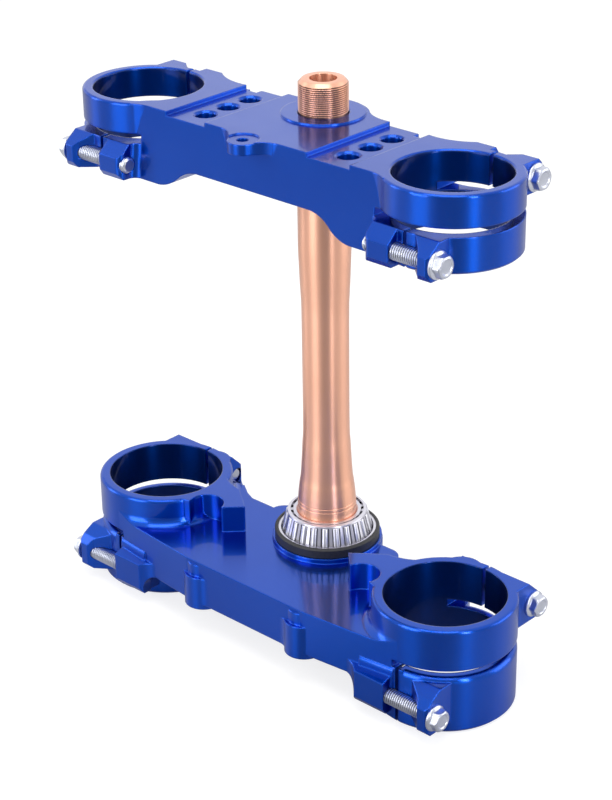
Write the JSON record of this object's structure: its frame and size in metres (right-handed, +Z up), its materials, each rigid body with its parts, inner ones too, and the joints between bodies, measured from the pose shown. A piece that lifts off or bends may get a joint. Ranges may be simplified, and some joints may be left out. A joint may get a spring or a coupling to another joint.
{
  "type": "motorcycle triple clamp",
  "caption": "Motorcycle triple clamp: upper and lower fork clamps with split pinch rings joined by a hollow steering stem that carries a taper roller bearing.",
  "frame": {"origin": "on the steering axis in the plane of the stem's lower end, which is also the underside of the lower clamp's front ears", "axes": "+Z up the steering stem, +X across the fork tubes towards the right-hand ring of the picture, +Y towards the rear, away from the fork tubes"},
  "size_m": [0.2628, 0.0946, 0.2873],
  "materials": {
    "clamp_blue": "blue anodised, satin",
    "stem": "copper-toned anodised, turned",
    "bearing_steel": "ground steel",
    "roller_steel": "polished steel",
    "seal_rubber": "matte",
    "bolt_zinc": "pale zinc plated"
  },
  "bodies": {
    "clamp_set": {"upper_clamp": "clamp_blue", "lower_clamp": "clamp_blue", "steering_stem": "stem", "bearing_inner_race": "bearing_steel", "bearing_seal": "seal_rubber", "seal_ring": "bearing_steel", "upper_front_left_bolt": "bolt_zinc", "upper_front_right_bolt": "bolt_zinc", "upper_rear_left_bolt": "bolt_zinc", "upper_rear_right_bolt": "bolt_zinc", "lower_front_left_bolt": "bolt_zinc", "lower_front_right_bolt": "bolt_zinc", "lower_rear_left_bolt": "bolt_zinc", "lower_rear_right_bolt": "bolt_zinc"},
    "roller_cage": {"bearing_cage": "bearing_steel", "roller_1": "roller_steel", "roller_2": "roller_steel", "roller_3": "roller_steel", "roller_4": "roller_steel", "roller_5": "roller_steel", "roller_6": "roller_steel", "roller_7": "roller_steel", "roller_8": "roller_steel", "roller_9": "roller_steel", "roller_10": "roller_steel", "roller_11": "roller_steel", "roller_12": "roller_steel", "roller_13": "roller_steel", "roller_14": "roller_steel", "roller_15": "roller_steel", "roller_16": "roller_steel", "roller_17": "roller_steel", "roller_18": "roller_steel", "roller_19": "roller_steel", "roller_20": "roller_steel", "roller_21": "roller_steel", "roller_22": "roller_steel", "roller_23": "roller_steel"}
  },
  "joints": [
    {"name": "cage_turn", "type": "hinge", "parent": "clamp_set", "child": "roller_cage", "pos_m": [0, 0, 0.0463], "axis": [0, 0, 1], "continuous": true}
  ]
}
